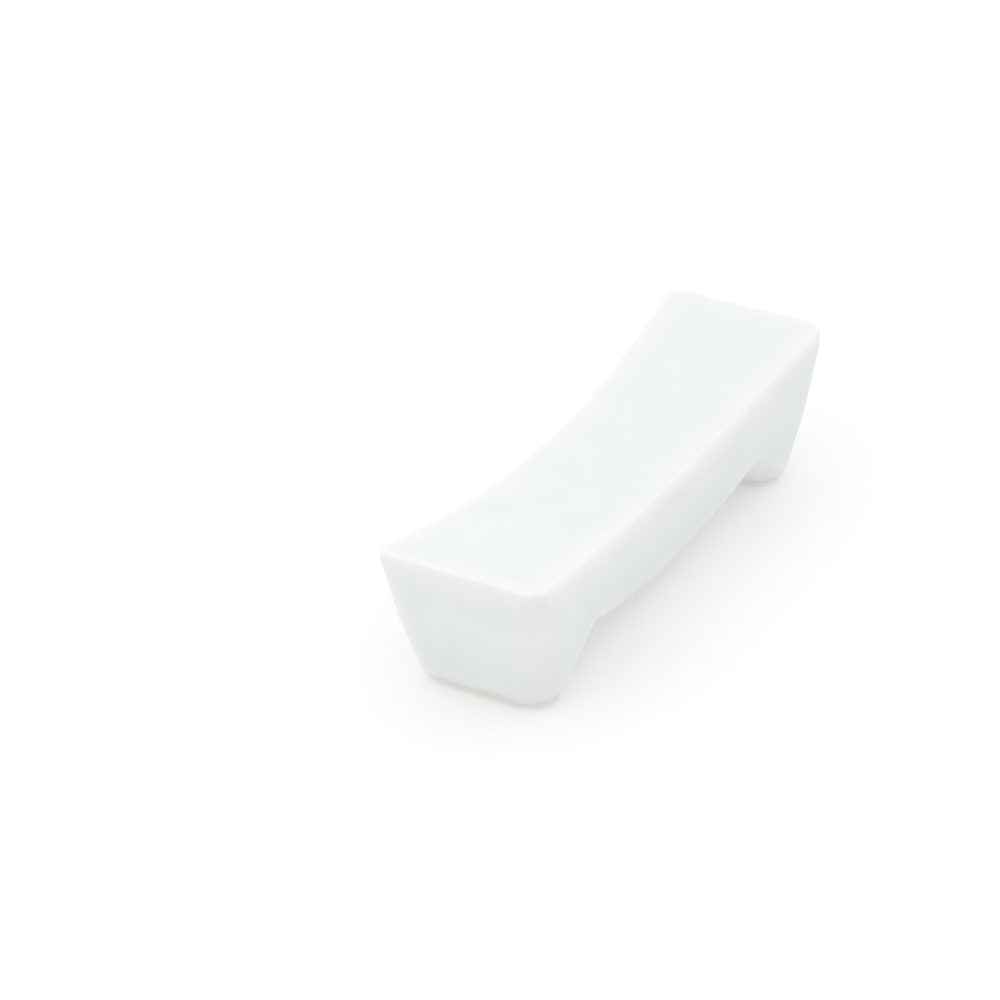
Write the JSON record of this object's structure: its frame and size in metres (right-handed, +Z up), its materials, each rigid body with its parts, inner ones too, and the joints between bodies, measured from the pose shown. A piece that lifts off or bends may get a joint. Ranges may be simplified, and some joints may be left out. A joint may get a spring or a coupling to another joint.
{
  "type": "chopstick rest",
  "caption": "Pillow-shaped glazed porcelain chopstick rest: a bar with raised ends, a dip across its middle for the chopstick tips, and a foot under each end.",
  "frame": {"origin": "centre of the footprint, on the table that the two feet stand on", "axes": "+X along the length of the rest, +Y across it, the way the chopsticks lie, and +Z up"},
  "size_m": [0.064, 0.0196, 0.017],
  "materials": {
    "bare_porcelain": "matte fired white clay, ground flat on the feet",
    "white_glaze": "clear glossy glaze over white porcelain"
  },
  "bodies": {
    "root": {"porcelain_body": "bare_porcelain", "glaze_coat": "white_glaze"}
  },
  "joints": []
}
